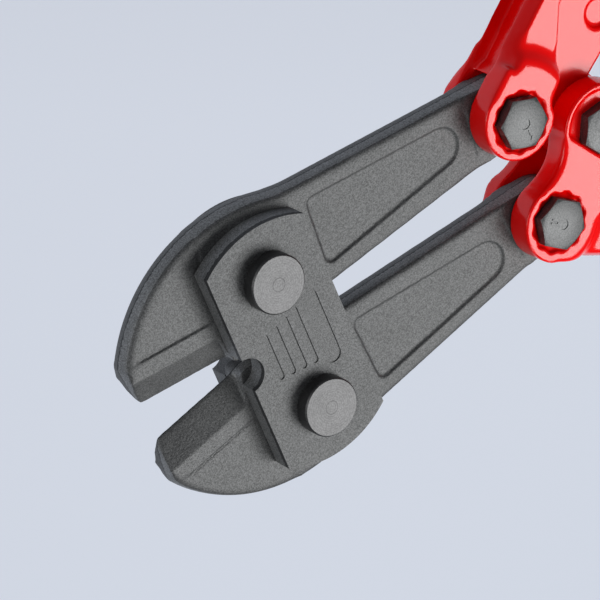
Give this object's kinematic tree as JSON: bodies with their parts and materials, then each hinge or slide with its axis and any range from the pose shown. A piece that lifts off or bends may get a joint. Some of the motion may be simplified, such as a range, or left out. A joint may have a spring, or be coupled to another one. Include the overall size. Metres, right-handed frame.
{
  "type": "bolt cutters",
  "caption": "Long-handled bolt cutters with forged jaws between tie plates, forked toggle arms, tubular handles and soft grips.",
  "frame": {"origin": "middle of the back tie plate's outer face, halfway between the two jaw pins", "axes": "+X along the tool's midline from the jaws towards the handles, +Y towards the upper jaw, +Z through the thickness towards the pins' round heads"},
  "size_m": [0.6578, 0.7692, 0.0378],
  "materials": {
    "blackened_steel": "forged, blackened and oiled, fine sandy grain",
    "pin_steel": "turned, satin",
    "bolt_steel": "phosphated, dull grey",
    "red_enamel": "gloss powder coat",
    "grip_rubber": "soft matte, fine grain",
    "red_plastic": "moulded, semi-matte",
    "bumper_rubber": "matte"
  },
  "bodies": {
    "tie_plates": {"tie_plate_front": "blackened_steel", "tie_plate_back": "blackened_steel", "jaw_pin_upper": "pin_steel", "jaw_pin_lower": "pin_steel", "jaw_pin_nut_upper": "bolt_steel", "jaw_pin_nut_lower": "bolt_steel"},
    "jaw_upper": {"jaw_upper": "blackened_steel"},
    "handle_upper": {"fork_upper": "red_enamel", "adjusting_bolt_upper": "bolt_steel", "adjusting_nut_upper": "bolt_steel", "handle_tube_upper": "red_enamel", "cross_pins_upper": "pin_steel", "grip_sleeve_upper": "grip_rubber", "guard_ring_upper": "red_plastic", "end_cap_upper": "red_plastic", "bumper_upper": "bumper_rubber"},
    "jaw_lower": {"jaw_lower": "blackened_steel"},
    "handle_lower": {"fork_lower": "red_enamel", "adjusting_bolt_lower": "bolt_steel", "adjusting_nut_lower": "bolt_steel", "handle_tube_lower": "red_enamel", "cross_pins_lower": "pin_steel", "grip_sleeve_lower": "grip_rubber", "guard_ring_lower": "red_plastic", "end_cap_lower": "red_plastic", "bumper_lower": "bumper_rubber", "centre_bolt": "bolt_steel", "centre_nut": "bolt_steel"}
  },
  "joints": [
    {"name": "jaw_upper_pivot", "type": "hinge", "parent": "tie_plates", "child": "jaw_upper", "pos_m": [0, 0.026, 0.0136], "axis": [0, 0, 1], "range_deg": [-0.98, 6.9]},
    {"name": "handle_upper_pivot", "type": "hinge", "parent": "jaw_upper", "child": "handle_upper", "pos_m": [0.10762, 0.02179, 0.0136], "axis": [0, 0, -1], "range_deg": [-5.7, 40]},
    {"name": "jaw_lower_pivot", "type": "hinge", "parent": "tie_plates", "child": "jaw_lower", "pos_m": [0, -0.026, 0.0136], "axis": [0, 0, -1], "range_deg": [-0.98, 6.9]},
    {"name": "handle_lower_pivot", "type": "hinge", "parent": "jaw_lower", "child": "handle_lower", "pos_m": [0.10762, -0.02179, 0.0136], "axis": [0, 0, 1], "range_deg": [-5.7, 40]}
  ],
  "couplings": [
    {"joint": "jaw_upper_pivot", "follows": "handle_upper_pivot", "ratio": 0.17241},
    {"joint": "jaw_lower_pivot", "follows": "handle_upper_pivot", "ratio": 0.17241},
    {"joint": "handle_lower_pivot", "follows": "handle_upper_pivot", "ratio": 1}
  ]
}
